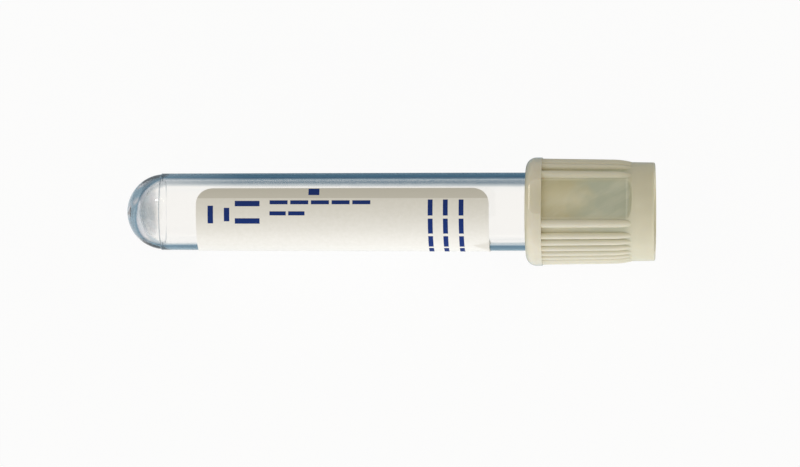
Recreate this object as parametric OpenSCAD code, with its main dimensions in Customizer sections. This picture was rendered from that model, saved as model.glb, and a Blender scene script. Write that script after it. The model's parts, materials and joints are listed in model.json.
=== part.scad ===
// Evacuated blood collection tube, 13 x 75 mm, with a push-on safety closure.
//
// A clear moulded tube carries a wrapped paper label and a little dried additive in its
// round end. A rubber stopper plugs the mouth, and a ribbed safety shield snaps over the
// stopper and reaches down over the rim, so that both come off together.
//
// Every piece is drawn along the tube's own axis: z = 0 at the tip of the round end, and
// +z towards the closure. place() then lays it down as it rests on a table, on the round
// end's parting line and on the lower flat of the shield's collar, with +X towards the
// closure. The flats of the shield lie at local +x (down) and -x (up).

/* [Tube] */
// Length of the tube, from the tip of its round end to its rim
tube_l = 75; // [60:0.5:120]
// Outside diameter of the straight land that the closure covers
tube_d = 12.95; // [11:0.05:16.5]
// Thickness of the tube's wall
tube_wall = 0.95; // [0.7:0.05:1.3]
// Thickness of the round end at its tip
tip_wall = 1.6; // [1:0.1:2.4]
// Draft of the barrel, half angle in degrees
tube_draft = 0.13; // [0.05:0.01:0.25]
// Step where the barrel's mould half stands out from the round end's
seam_step = 0.1; // [0.03:0.01:0.15]
// How far the parting line lies below the round end's full width
seam_back = 0.44; // [0.2:0.02:0.8]
// Radius of the rim's inner and outer edge
rim_edge = 0.28; // [0.1:0.02:0.32]
// Diameter of the gate mark at the tip
gate_d = 1.8; // [1.2:0.1:2.6]
// Depth of the gate mark
gate_depth = 0.15; // [0.1:0.01:0.25]

/* [Label] */
// Distance from the tip of the round end to the label
label_from = 12; // [9:0.5:18]
// Length of the label along the tube
label_l = 48.4; // [25:0.1:48.6]
// Width of the label's paper, measured round the tube
label_w = 28; // [20:0.5:30]
// Thickness of the label
label_t = 0.1; // [0.06:0.01:0.15]
// Radius of the label's corners
label_corner = 2.8; // [1:0.1:4]
// Where the label's upper edge lies, in degrees from straight up
label_edge_a = 19.5; // [5:0.1:40]

/* [Additive] */
// Depth of the dried additive at the tip
additive_t = 0.3; // [0.2:0.05:0.6]
// How far the additive climbs from the inside of the tip
additive_h = 3; // [2:0.1:4.2]

/* [Shield] */
// How far the shield reaches down past the tube's rim
skirt_l = 8.7; // [7:0.1:12]
// How far the shield stands above the tube's rim
shield_over = 12.62; // [11.5:0.1:16]
// Wall of the shield at the floor of its grooves
grip_wall = 1.2; // [1.1:0.05:1.6]
// Wall of the shield at its two flats
panel_wall = 0.45; // [0.4:0.05:0.65]
// Height of the collar round the shield's mouth
collar_h = 2.77; // [2.5:0.05:4]
// How far the collar stands out from the floor of the grooves
collar_out = 1.01; // [0.95:0.01:1.3]
// Radius under the collar's outer edge
collar_round = 1.75; // [1.4:0.05:1.8]
// Depth of the collar's two flats
collar_flat = 0.5; // [0.3:0.05:0.6]
// Radius under each of the collar's flats
flat_round = 1.1; // [0.8:0.05:1.2]
// Height of the plain ring at the shield's top
ring_h = 3.56; // [2.6:0.05:4]
// How far the ring stands out from the floor of the grooves
ring_out = 0.23; // [0.18:0.01:0.28]
// Wall of the ring round the needle recess
ring_wall = 1.77; // [1.6:0.01:1.9]
// Radius of the ring's outer top edge
ring_edge = 0.3; // [0.15:0.05:0.5]
// How far the ledge that holds the stopper reaches into the needle recess
ledge_w = 1.7; // [1.3:0.05:2]
// Thickness of that ledge
ledge_t = 0.8; // [0.6:0.05:1]

/* [Grip ribs] */
// Ribs between the flats on each side
ribs = 11; // [6:1:11]
// Radius of a rib's half-round back
rib_r = 0.58; // [0.5:0.01:0.59]
// Height of a rib above the floor of the grooves, at the collar
rib_h = 0.83; // [0.75:0.01:0.84]
// Draft of the ribs: the angle they lean in towards the ring
rib_draft = 0.85; // [0.4:0.05:1]
// Angle from the middle of a flat to the rib that edges it
edge_rib_a = 31.2; // [30:0.1:32]
// Radius of the ribs that edge the flats
edge_rib_r = 0.72; // [0.6:0.01:0.74]
// Angle from the middle of a flat to where the row of ribs begins
row_a = 42; // [40:0.1:42.4]
// Length over which the ribs bend in and sink into the ring
fade_l = 3.2; // [2.4:0.1:5]
// Length over which the floors of the grooves rise to the ring
groove_rise = 1.4; // [1.3:0.1:2]
// Radius of the run-out at the top of each flat
runout_r = 1.2; // [1:0.1:4]

/* [Stopper] */
// Length of the plug inside the tube
plug_l = 8.3; // [6.5:0.1:10]
// How far the stopper's head stands out over the tube's outside
head_over = 0.2; // [0.15:0.01:0.3]
// Diameter of the well under the plug
well_d = 6.4; // [4.5:0.1:6.6]
// Thickness of rubber between the well and the dished top
septum_t = 5.4; // [4:0.1:7]
// How far the lip hooks out over the shield's ledge
lip_hook = 0.7; // [0.5:0.05:1]
// Height of the lip above the ledge
lip_h = 0.85; // [0.7:0.05:1]
// Depth of the dished top
dish_h = 0.6; // [0.3:0.05:0.8]

/* [Clearances] */
// Radial clearance of the plug's sealing bands in the bore
plug_gap = 0.04; // [0.02:0.01:0.08]
// Radial clearance of the shield's mouth over the tube
skirt_gap = 0.2; // [0.15:0.01:0.3]
// Radial clearance of the stopper's head and neck in the shield
head_gap = 0.08; // [0.04:0.01:0.15]
// Clearance where two pieces seat on each other
seat_gap = 0.02; // [0.01:0.005:0.04]
// Bare barrel between the straight land and the shield's mouth
land_gap = 0.5; // [0.3:0.1:1]

/* [Hidden] */
$fn = 96;
eps = 0.01;

// Shield, from its mouth up
mouth_z = tube_l - skirt_l;
collar_z = mouth_z + collar_h;
top_z = tube_l + shield_over;
ring_z = top_z - ring_h;
head_r = tube_d / 2 + head_over;
head_bore = head_r + head_gap;
skirt_bore = tube_d / 2 + skirt_gap;
core_r = head_bore + grip_wall;
panel_x = head_bore + panel_wall;
collar_r = core_r + collar_out;
collar_x = collar_r - collar_flat;
crown_r = core_r + rib_h;
ring_r = core_r + ring_out;
ring_top_r = ring_r - 0.05;
recess_r = ring_r - ring_wall;
ledge_r = recess_r - ledge_w;
ledge_z = ring_z - 0.36;
rib_pitch = (180 - 2 * row_a) / ribs;

// Tube
label_top = label_from + label_l;
land_lo = label_top + 0.4;
land_hi = mouth_z - land_gap;
draft = tan(tube_draft);
function barrel_r(z) =
    tube_d / 2 - max(0, land_lo - z) * draft + max(0, z - land_hi) * draft;
dome_r = barrel_r(0) - seam_step;
seam_z = dome_r - seam_back;
bore_lo_r = barrel_r(dome_r) - tube_wall;
bore_lo_z = tip_wall + bore_lo_r;
bore_r = tube_d / 2 - tube_wall;

// Stopper
plug_z = tube_l - plug_l;
head_z = tube_l + seat_gap;
neck_r = ledge_r - head_gap;
lip_r = ledge_r + lip_hook;
lip_z = ledge_z + ledge_t + seat_gap;
stopper_top = lip_z + lip_h;
well_top = stopper_top - dish_h - septum_t;

// Rest: the table touches the edge at the parting line and the round under the collar's flat
rest_edge = [barrel_r(seam_z), seam_z];
rest_run = [collar_x - flat_round, mouth_z + flat_round] - rest_edge;
tilt = atan(rest_run[0] / rest_run[1]) + asin(flat_round / norm(rest_run));
rest_z = rest_edge[0] * cos(tilt) - rest_edge[1] * sin(tilt);
end_lo = dome_r * cos(tilt) - dome_r;
end_hi = (top_z - ring_edge) * cos(tilt) + (ring_top_r - ring_edge) * sin(tilt) + ring_edge;

module place() {
    translate([-(end_lo + end_hi) / 2, 0, rest_z]) rotate([0, 90 - tilt, 0]) children();
}

// A rectangle between two radii and two heights
module band(r0, r1, z0, z1) {
    translate([r0, z0]) square([r1 - r0, z1 - z0]);
}

// The quarter of a round edge that faces out (side 1) or in (side -1), and up or down (up -1)
module quarter(r, z, radius, side = 1, up = 1) {
    intersection() {
        translate([r, z]) circle(radius);
        translate([r - (side < 0 ? 2 * radius : 0), z - (up < 0 ? 2 * radius : 0)])
            square(2 * radius);
    }
}

// ---- Tube: one moulding with a drafted barrel, a round end and a rounded rim

module tube_outside() {
    intersection() {
        translate([0, dome_r]) circle(dome_r);
        band(0, tube_d, 0, seam_z);
    }
    polygon([
        [0, seam_z], [barrel_r(seam_z), seam_z], [tube_d / 2, land_lo], [tube_d / 2, land_hi],
        [barrel_r(tube_l), tube_l - rim_edge], [0, tube_l - rim_edge]
    ]);
    band(0, barrel_r(tube_l) - rim_edge, seam_z, tube_l);
    quarter(barrel_r(tube_l) - rim_edge, tube_l - rim_edge, rim_edge);
}

module tube_inside() {
    intersection() {
        translate([0, bore_lo_z]) circle(bore_lo_r);
        band(0, tube_d, 0, bore_lo_z);
    }
    polygon([
        [0, bore_lo_z], [bore_lo_r, bore_lo_z], [bore_r, land_lo],
        [bore_r, tube_l + 1], [0, tube_l + 1]
    ]);
    // round edge inside the rim
    difference() {
        band(0, bore_r + rim_edge, tube_l - rim_edge, tube_l + 1);
        quarter(bore_r + rim_edge, tube_l - rim_edge, rim_edge, side = -1);
    }
}

module tube() {
    color([0.74, 0.84, 0.92, 0.4]) place() rotate_extrude() difference() {
        tube_outside();
        tube_inside();
        // gate mark: a shallow ring round the cut-off sprue
        band(gate_d / 6, gate_d / 2, -1, gate_depth);
    }
}

// ---- Label: a paper wrap with rounded corners that leaves a clear window at the back

label_in = barrel_r(label_from) + seat_gap;
label_span = label_w / barrel_r(label_from) * 180 / PI;
label_a = 180 - label_edge_a;

// Removes what lies outside one rounded corner; a and z are the corner, sa and sz point in.
// The arc's centre sits a little close to the edges, so that the arc crosses them.
module label_corner_cut(a, z, sa, sz) {
    inset = label_corner - 0.03;
    turn = inset / barrel_r(z) * 180 / PI;
    rotate([0, 0, a + sa * turn]) translate([0, 0, z + sz * inset])
        rotate([90, 0, 90]) linear_extrude(tube_d)
            difference() {
                translate([sa > 0 ? -2 * label_corner : 0, sz > 0 ? -2 * label_corner : 0])
                    square(2 * label_corner);
                circle(label_corner);
            }
}

module label() {
    color("white") place() difference() {
        rotate([0, 0, label_a]) rotate_extrude(angle = label_span) polygon([
            [barrel_r(label_from) + seat_gap, label_from],
            [barrel_r(label_from) + seat_gap + label_t, label_from],
            [barrel_r(label_top) + seat_gap + label_t, label_top],
            [barrel_r(label_top) + seat_gap, label_top]
        ]);
        label_corner_cut(label_a, label_from, 1, 1);
        label_corner_cut(label_a, label_top, 1, -1);
        label_corner_cut(label_a + label_span, label_from, -1, 1);
        label_corner_cut(label_a + label_span, label_top, -1, -1);
    }
}

// ---- Additive: dried salt caked in the round end

module additive() {
    color("ghostwhite") place() rotate_extrude() difference() {
        intersection() {
            translate([0, bore_lo_z]) circle(bore_lo_r - seat_gap);
            band(0, tube_d, 0, tip_wall + additive_h);
        }
        translate([0, bore_lo_z + additive_t]) circle(bore_lo_r - seat_gap);
        band(-tube_d, 0, 0, tube_l);
    }
}

// ---- Shield: collar, reeded grip with two flats, and a plain ring round the needle recess

module shield_core() {
    // collar, full round underneath and a small edge on top
    edge = 0.15;
    band(0, collar_r - collar_round, mouth_z, collar_z);
    quarter(collar_r - collar_round, mouth_z + collar_round, collar_round, up = -1);
    band(0, collar_r, mouth_z + collar_round, collar_z - edge);
    band(0, collar_r - edge, mouth_z + collar_round, collar_z);
    quarter(collar_r - edge, collar_z - edge, edge);
}

// The collar seen along its flats, each with its own round underneath
module collar_flats() {
    x = collar_x - flat_round;
    translate([-x, mouth_z]) square([2 * x, collar_h]);
    translate([-collar_x, mouth_z + flat_round]) square([2 * collar_x, collar_h - flat_round]);
    for (s = [-1, 1]) translate([s * x, mouth_z + flat_round]) intersection() {
        circle(flat_round);
        translate([s > 0 ? 0 : -2 * flat_round, -2 * flat_round]) square(2 * flat_round);
    }
}

module shield_ring() {
    polygon([
        [0, ring_z], [ring_r, ring_z], [ring_top_r, top_z - ring_edge], [0, top_z - ring_edge]
    ]);
    band(0, ring_top_r - ring_edge, ring_z, top_z);
    quarter(ring_top_r - ring_edge, top_z - ring_edge, ring_edge);
}

// The grip without its ribs, with floors that rise to the ring
module shield_grip() {
    polygon([
        [0, collar_z - 0.5], [core_r, collar_z - 0.5], [core_r, ring_z - groove_rise],
        [ring_r, ring_z], [0, ring_z]
    ]);
}

// One half-round rib: straight and leaning in from the collar, then bent in until it sinks
// into the rising floor, so that its back ends just below the ring's edge
module rib(r) {
    drop = crown_r - (ring_z - fade_l - collar_z) * tan(rib_draft) - ring_r + 0.06;
    run = fade_l * cos(rib_draft) + drop * sin(rib_draft);
    fall = drop * cos(rib_draft) - fade_l * sin(rib_draft);
    crown_bend = (pow(run, 2) + pow(fall, 2)) / (2 * fall);
    bend = crown_bend - r;
    foot = 0.3;
    length = (ring_z - fade_l - collar_z) / cos(rib_draft);
    translate([crown_r - r, 0, collar_z]) rotate([0, -rib_draft, 0]) {
        translate([0, 0, -foot]) cylinder(r = r, h = length + foot);
        translate([-bend, 0, length]) rotate([90, 0, 0])
            rotate_extrude(angle = asin((run + foot) / crown_bend), $fn = 360)
                translate([bend, 0]) circle(r, $fn = 96);
    }
}

// A row of ribs on each side, and one along each edge of each flat
module all_ribs() {
    for (side = [0, 180], i = [0 : ribs - 1])
        rotate([0, 0, side + row_a + (i + 0.5) * rib_pitch]) rib(rib_r);
    for (flat = [0, 180], s = [-1, 1]) rotate([0, 0, flat + s * edge_rib_a]) rib(edge_rib_r);
}

// What a flat takes off the grip: a plane that runs out in an arc just below the ring
module flat_cut() {
    half_w = (crown_r - edge_rib_r) * sin(edge_rib_a);
    runout_z = ring_z - 0.05 - sqrt(2 * runout_r * (ring_r - panel_x) - pow(ring_r - panel_x, 2));
    translate([panel_x, -half_w, collar_z]) cube([collar_r, 2 * half_w, runout_z - collar_z]);
    intersection() {
        translate([panel_x + runout_r, -half_w, runout_z]) rotate([-90, 0, 0])
            cylinder(r = runout_r, h = 2 * half_w);
        translate([panel_x - 1, -half_w, runout_z - eps]) cube([collar_r, 2 * half_w, runout_r]);
    }
}

// Openings of the shield: mouth over the tube, seat for the stopper's head, needle recess
module shield_inside() {
    lead = 0.4;
    band(0, skirt_bore, mouth_z - 1, tube_l);
    polygon([
        [0, mouth_z - eps], [skirt_bore + lead, mouth_z - eps], [skirt_bore, mouth_z + lead],
        [0, mouth_z + lead]
    ]);
    band(0, head_bore, tube_l - 0.4, ledge_z);
    band(0, ledge_r, tube_l, top_z);
    band(0, recess_r, ledge_z + ledge_t, top_z + 1);
    polygon([
        [0, top_z - 0.3], [recess_r, top_z - 0.3], [recess_r + 0.3, top_z + eps], [0, top_z + eps]
    ]);
}

module shield() {
    color([0.85, 0.82, 0.7, 0.92]) place() difference() {
        union() {
            intersection() {
                rotate_extrude() shield_core();
                rotate([90, 0, 0]) linear_extrude(3 * collar_r, center = true) collar_flats();
            }
            difference() {
                rotate_extrude() shield_grip();
                for (a = [0, 180]) rotate([0, 0, a]) flat_cut();
            }
            rotate_extrude() shield_ring();
            all_ribs();
        }
        rotate_extrude() shield_inside();
    }
}

// ---- Stopper: banded plug with a well, a head on the rim, and a lip hooked over the ledge

module stopper_outside() {
    edge = 0.35;
    r = bore_r - plug_gap;
    relief = 0.3;
    polygon([
        [0, plug_z], [r - 0.9, plug_z], [r, plug_z + 1.4], [r, plug_z + 2.4],
        [r - relief, plug_z + 2.7], [r - relief, plug_z + 3.7], [r, plug_z + 4],
        [r, plug_z + 5.2], [r - relief, plug_z + 5.5], [r - relief, plug_z + 6.1],
        [r - relief, head_z + eps], [0, head_z + eps]
    ]);
    // head, with rounded edges
    band(0, head_r - edge, head_z, ledge_z - seat_gap);
    band(0, head_r, head_z + edge, ledge_z - seat_gap - edge);
    quarter(head_r - edge, head_z + edge, edge, up = -1);
    quarter(head_r - edge, ledge_z - seat_gap - edge, edge);
    // neck through the ledge, and lip above it
    band(0, neck_r, tube_l + 1, stopper_top);
    band(0, lip_r - edge, lip_z, stopper_top);
    band(0, lip_r, lip_z, stopper_top - edge);
    quarter(lip_r - edge, stopper_top - edge, edge);
}

module stopper_inside() {
    dish_w = neck_r - 0.6;
    dish_r = (pow(dish_w, 2) + pow(dish_h, 2)) / (2 * dish_h);
    band(0, well_d / 2, plug_z - 1, well_top - well_d / 2);
    intersection() {
        translate([0, well_top - well_d / 2]) circle(well_d / 2);
        band(0, well_d, well_top - well_d / 2, well_top + 1);
    }
    intersection() {
        translate([0, stopper_top - dish_h + dish_r]) circle(dish_r, $fn = 360);
        band(0, dish_w + 1, stopper_top - dish_h - 1, stopper_top + 1);
    }
}

module stopper() {
    color([0.55, 0.55, 0.48]) place() rotate_extrude() difference() {
        stopper_outside();
        stopper_inside();
    }
}

tube();
label();
additive();
shield();
stopper();
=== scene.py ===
# %% [markdown]
# # A blood collection tube, step by step
#
# The object is an evacuated blood collection tube that lies on a table: a clear moulded tube
# with a wrapped paper label, a little dried salt in its round end, a grey rubber stopper, and
# a ribbed safety shield over the stopper. Its solids come ready-made from the CAD model, in
# metres, and this lesson gives them their looks. The first cell loads those solids, and keeps
# their overall box, so that the last cell can show that nothing has grown past it.

# %% Load the solids
import json
import math

import bpy
from mathutils import Matrix, Vector


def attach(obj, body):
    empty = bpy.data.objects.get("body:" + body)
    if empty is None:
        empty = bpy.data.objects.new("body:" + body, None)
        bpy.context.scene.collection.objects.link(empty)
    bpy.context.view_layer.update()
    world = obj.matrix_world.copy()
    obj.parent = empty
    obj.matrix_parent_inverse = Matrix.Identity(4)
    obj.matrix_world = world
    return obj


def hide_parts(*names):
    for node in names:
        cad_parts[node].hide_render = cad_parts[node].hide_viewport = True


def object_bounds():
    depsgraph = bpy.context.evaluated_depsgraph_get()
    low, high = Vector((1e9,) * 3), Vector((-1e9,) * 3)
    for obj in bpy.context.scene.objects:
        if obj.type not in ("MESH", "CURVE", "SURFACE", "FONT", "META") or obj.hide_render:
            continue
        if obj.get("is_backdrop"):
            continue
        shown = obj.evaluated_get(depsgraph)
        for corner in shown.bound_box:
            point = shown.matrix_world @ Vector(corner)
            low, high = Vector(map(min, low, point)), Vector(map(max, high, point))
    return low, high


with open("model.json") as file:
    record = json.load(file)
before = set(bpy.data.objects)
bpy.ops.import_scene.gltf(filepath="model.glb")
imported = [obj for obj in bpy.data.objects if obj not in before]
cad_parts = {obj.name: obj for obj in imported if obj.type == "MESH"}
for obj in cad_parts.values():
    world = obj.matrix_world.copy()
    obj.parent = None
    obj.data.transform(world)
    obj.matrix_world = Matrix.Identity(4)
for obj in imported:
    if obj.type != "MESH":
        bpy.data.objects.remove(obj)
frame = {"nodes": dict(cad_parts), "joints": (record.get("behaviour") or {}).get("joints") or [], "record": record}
cad_low, cad_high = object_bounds()
MM = 0.001
print("solids:", sorted(frame["nodes"]))
print("overall mm:", [round(v / MM, 2) for v in cad_high - cad_low])

# %% [markdown]
# ## The tube's own axis
#
# The tube doesn't lie flat. It rests on its round end and on the shield's wider collar, so it
# climbs about two degrees towards the closure. Places on a tube are easiest to give as a
# distance from its tip, a distance from its axis, and an angle round it. The axis could be
# typed in, but the joint already gives its direction, because the closure slides off along
# it, and the mesh of the tube tells where the tip and the rim lie. So nothing here has to be
# changed when the model is. Angles are counted from straight up, towards -Y.

# %% Measure the axis
AXIS = Vector(frame["joints"][0]["axis"]).normalized()
UP = Vector((-AXIS.z, 0, AXIS.x))
SIDE = Vector((0, -1, 0))
on_axis = Vector(next(m["pos_m"] for m in frame["record"]["mounts"] if m["name"] == "barrel"))


def reach(node_name):
    """How far along the axis a solid starts and ends, and how far out it goes, in metres."""
    points = [v.co - on_axis for v in frame["nodes"][node_name].data.vertices]
    along = [p.dot(AXIS) for p in points]
    return min(along), max(along), max((p - AXIS * a).length for p, a in zip(points, along))


tip_offset, rim_offset, tube_radius = reach("tube")
TIP = on_axis + AXIS * tip_offset
print("rim at mm:", round((rim_offset - tip_offset) / MM, 2))
print("radius mm:", round(tube_radius / MM, 3))
print("tilt deg:", round(math.degrees(math.asin(AXIS.z)), 2))

# %% [markdown]
# ## Colours
#
# Colours are written as the sRGB hex values that a paint program shows, but shaders count in
# linear light, so one function turns one into the other.

# %% Colour helper
WHITE = (1.0, 1.0, 1.0, 1.0)


def linear(hex_value):
    """An sRGB colour such as "#D9D2BC" as linear RGBA."""
    parts = [int(hex_value[i:i + 2], 16) / 255 for i in (1, 3, 5)]
    return (*[c / 12.92 if c <= 0.04045 else ((c + 0.055) / 1.055) ** 2.4 for c in parts], 1.0)


print("paper white in linear light:", [round(c, 3) for c in linear("#F6F3EE")[:3]])

# %% [markdown]
# ## Nodes
#
# Every material here is a small tree of nodes. They could be drawn by hand in the shader
# editor; built in code they can be read, compared and repeated. One function adds a node,
# sets it and links its inputs, which keeps each material to about a line for a node. Inputs
# are given by name, or in order where names repeat or the order is plain: a Map Range, for
# one, takes a value, the range that it comes from and the range that it goes to, 0 to 1 if
# not given.

# %% Node helpers
def add(tree, kind, settings=None, *values, **inputs):
    """Adds a node and returns it.

    Settings are the node's own choices; "stops" are a colour ramp's. Values fill its inputs
    in order, and inputs fill them by name, with _ for a space. Each is a plain value, or a
    socket to link, or a node, which stands for its first output in use.
    """
    made = tree.nodes.new(kind)
    for name, setting in (settings or {}).items():
        if name == "stops":
            for place, _ in setting[2:]:
                made.color_ramp.elements.new(place)
            for element, (place, colour) in zip(made.color_ramp.elements, setting):
                element.position, element.color = place, linear(colour)
        else:
            setattr(made, name, setting)
    sockets = [s for s in made.inputs if s.enabled]
    fills = list(zip(sockets, values))
    fills += [(next(s for s in sockets if s.name == name.replace("_", " ")), value)
              for name, value in inputs.items()]
    for socket, value in fills:
        if isinstance(value, bpy.types.Node):
            value = next(s for s in value.outputs if s.enabled)
        if isinstance(value, bpy.types.NodeSocket):
            tree.links.new(value, socket)
        else:
            socket.default_value = value
    return made


def new_material(name):
    """An empty material and its tree."""
    material = bpy.data.materials.new(name)
    material.use_nodes = True
    material.node_tree.nodes.clear()
    return material, material.node_tree


def dress(obj, material):
    """Gives the whole object one material."""
    obj.data.materials.clear()
    obj.data.materials.append(material)


print("node helpers ready")

# %% [markdown]
# ## Patterns in real sizes
#
# A noise pattern is set by its scale, the number of blotches in a metre, so one line works
# that out from the size of a blotch in millimetres. Many patterns here also follow the tube
# itself, which is tilted, so X alone won't do. A second helper turns Object coordinates into
# a distance along the axis and one from it.

# %% Pattern helpers
def scale_of(size_mm):
    """The scale at which a pattern's blotches are about that many millimetres across."""
    return 1000.0 / size_mm


def place_on_tube(tree, spot, first_centre=-1.0):
    """How far along the tube and how far out the shaded point lies, both in millimetres.

    Before first_centre, in metres, the distance out is taken from that point of the axis.
    """
    from_tip = add(tree, "ShaderNodeVectorMath", {"operation": "SUBTRACT"}, spot, TIP)
    along = add(tree, "ShaderNodeVectorMath", {"operation": "DOT_PRODUCT"}, from_tip, AXIS)
    held = add(tree, "ShaderNodeMath", {"operation": "MAXIMUM"}, along, first_centre)
    foot = add(tree, "ShaderNodeVectorMath", {"operation": "SCALE"}, AXIS, held)
    out = add(tree, "ShaderNodeVectorMath", {"operation": "DISTANCE"}, from_tip, foot)
    return [add(tree, "ShaderNodeMath", {"operation": "MULTIPLY"}, v, 1 / MM) for v in (along, out)]


print("a 2 mm pattern has scale", scale_of(2))

# %% [markdown]
# ## The table
#
# A lab part is best shown on a sheet that is seen as plain white. More light would do that
# too, but it would wash out the part. So the sheet has a glow of its own for whatever looks
# at it directly, and only a small share of what is seen is an ordinary matt sheet, which
# keeps the shadow of the tube. On the -Y side, where the light comes from, the sheet also
# glows to matt surfaces, as one does that goes on to a bright window.

# %% Floor
FLOOR_HALF = 2.0  # metres
corners = [(x * FLOOR_HALF, y * FLOOR_HALF, 0) for x, y in ((-1, -1), (1, -1), (1, 1), (-1, 1))]
floor_mesh = bpy.data.meshes.new("floor")
floor_mesh.from_pydata(corners, [], [(0, 1, 2, 3)])
floor = bpy.data.objects.new("floor", floor_mesh)
bpy.context.scene.collection.objects.link(floor)
floor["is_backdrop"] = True
print("floor metres across:", round(floor.dimensions.x, 2))

# %% The sheet as the eye and matt surfaces see it
OWN_GLOW = 0.93  # the share of the white seen directly that is the sheet's own
sheet, tree = new_material("white_sheet")
rays = add(tree, "ShaderNodeLightPath").outputs
spot = add(tree, "ShaderNodeTexCoord").outputs["Object"]
place = add(tree, "ShaderNodeSeparateXYZ", {}, spot).outputs

matt = add(tree, "ShaderNodeBsdfDiffuse", Color=linear("#F4F4F4"), Roughness=0.0)
window_side = add(tree, "ShaderNodeMapRange", {}, place["Y"], -12 * MM, 0.0, 0.87, 0.0)
bounced = add(tree, "ShaderNodeMath", {"operation": "MULTIPLY"},
              rays["Is Diffuse Ray"], window_side)
bounce = add(tree, "ShaderNodeEmission", Color=linear("#F6F9FF"), Strength=bounced)
matt = add(tree, "ShaderNodeAddShader", {}, matt, bounce)
glow = add(tree, "ShaderNodeEmission", Color=WHITE, Strength=1.0)
seen = add(tree, "ShaderNodeMath", {"operation": "MULTIPLY"}, rays["Is Camera Ray"], OWN_GLOW)
plain_sheet = add(tree, "ShaderNodeMixShader", {}, seen, matt, glow)
print("glow seen directly:", OWN_GLOW)

# %% [markdown]
# ## The streak under the tube
#
# A clear tube gathers light into a bright streak under itself, with a band of shadow on
# either side. A path tracer hardly finds that light, and would need many more samples. So the
# sheet is painted, but only for what comes through clear plastic or off gloss: white under
# the tube, pale blue-grey beside it on the -Y side, and dark blue-grey on the +Y side,
# darkest close to the streak. The ramp runs over 50 mm on either side of the line on which
# the tube's middle is seen. Towards the tip the paint fades to half.

# %% Painted streak
SPAN = 50 * MM
LINE_SLOPE, LINE_AT = 0.0105, 0.85 * MM  # the line is not quite along X, and off the middle
line = add(tree, "ShaderNodeMath", {"operation": "MULTIPLY_ADD"}, place["X"], LINE_SLOPE, LINE_AT)
aside = add(tree, "ShaderNodeMath", {"operation": "SUBTRACT"}, place["Y"], line)
over_span = add(tree, "ShaderNodeMapRange", {}, aside, -SPAN, SPAN)
streak = add(tree, "ShaderNodeValToRGB", {"stops": (
    (0.0, "#FFFFFF"), (0.25, "#BCC6CC"), (0.38, "#C0CDD5"), (0.4, "#A9BFCC"),
    (0.42, "#9CB3C1"), (0.43, "#BCC8CF"), (0.438, "#FFFFFF"), (0.574, "#FFFFFF"),
    (0.581, "#BCC7CE"), (0.594, "#486A80"), (0.625, "#486A80"), (0.66, "#8FA9B9"),
    (0.69, "#7F9AAB"), (0.74, "#5F7A8C"), (0.9, "#748998"), (1.0, "#A2B0BA"))}, over_span)
past_tip = add(tree, "ShaderNodeMapRange", {}, place["X"], -48 * MM, -26 * MM, 0.5, 0.0)
streak = add(tree, "ShaderNodeMix", {"data_type": "RGBA"}, past_tip, streak, WHITE)
shown = add(tree, "ShaderNodeEmission", Color=streak, Strength=1.0)

by_gloss = add(tree, "ShaderNodeMath", {"operation": "MAXIMUM"},
               rays["Is Transmission Ray"], rays["Is Glossy Ray"])
surface = add(tree, "ShaderNodeMixShader", {}, by_gloss, plain_sheet, shown)
add(tree, "ShaderNodeOutputMaterial", Surface=surface)
dress(floor, sheet)
print("streak painted over mm:", round(2 * SPAN / MM))

# %% [markdown]
# ## The room
#
# A clear tube shows mostly what is round it, so the room matters as much as the lamps. A
# panorama of a studio could stand for it, but a soft gradient is enough: light grey on the -Y
# side, warm grey overhead, and a dull blue-grey behind the table, on the +Y side. What looks
# at the walls directly sees a white backdrop, and clear plastic and gloss see a part of it.

# %% World
ROOM, ROOM_IN_GLOSS = 1.4, 0.64
WHITE_IN_GLOSS, WHITE_THROUGH_PLASTIC = 0.2, 0.6
world = bpy.data.worlds.new("room")
bpy.context.scene.world = world
world.use_nodes = True
tree = world.node_tree
tree.nodes.clear()

spot = add(tree, "ShaderNodeTexCoord").outputs["Generated"]
direction = add(tree, "ShaderNodeSeparateXYZ", {}, spot).outputs
across_room = add(tree, "ShaderNodeMapRange", {}, direction["Y"], -1.0, 1.0)
walls = add(tree, "ShaderNodeValToRGB", {"stops": (
    (0.0, "#CCCCCC"), (0.25, "#BFBFBB"), (0.5, "#BAB6A8"), (0.75, "#B1ADA1"),
    (1.0, "#6E757C"))}, across_room)
rays = add(tree, "ShaderNodeLightPath").outputs
by_gloss = add(tree, "ShaderNodeMath", {"operation": "MAXIMUM"},
               rays["Is Glossy Ray"], rays["Is Transmission Ray"])
level = add(tree, "ShaderNodeMapRange", {}, by_gloss, 0.0, 1.0, ROOM, ROOM_IN_GLOSS)
room = add(tree, "ShaderNodeBackground", Color=walls, Strength=level)
backdrop = add(tree, "ShaderNodeBackground", Color=WHITE, Strength=1.0)

part = rays["Is Camera Ray"]
for ray, share in (("Is Glossy Ray", WHITE_IN_GLOSS),
                   ("Is Transmission Ray", WHITE_THROUGH_PLASTIC)):
    white = add(tree, "ShaderNodeMath", {"operation": "MULTIPLY"}, rays[ray], share)
    part = add(tree, "ShaderNodeMath", {"operation": "MAXIMUM"}, part, white)
surface = add(tree, "ShaderNodeMixShader", {}, part, room, backdrop)
add(tree, "ShaderNodeOutputWorld", Surface=surface)
print("room level:", ROOM)

# %% [markdown]
# ## Lamps
#
# One broad lamp stands low on the -Y side and models the shield's ribs, and it shows in no
# gloss, where it would draw a long white bar. A small one high behind the round end does the
# opposite. It shows in gloss only, as a spark on the round end and a bright line on the
# collar's flat, and doesn't light matt surfaces, so that the shadows stay soft.

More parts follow.
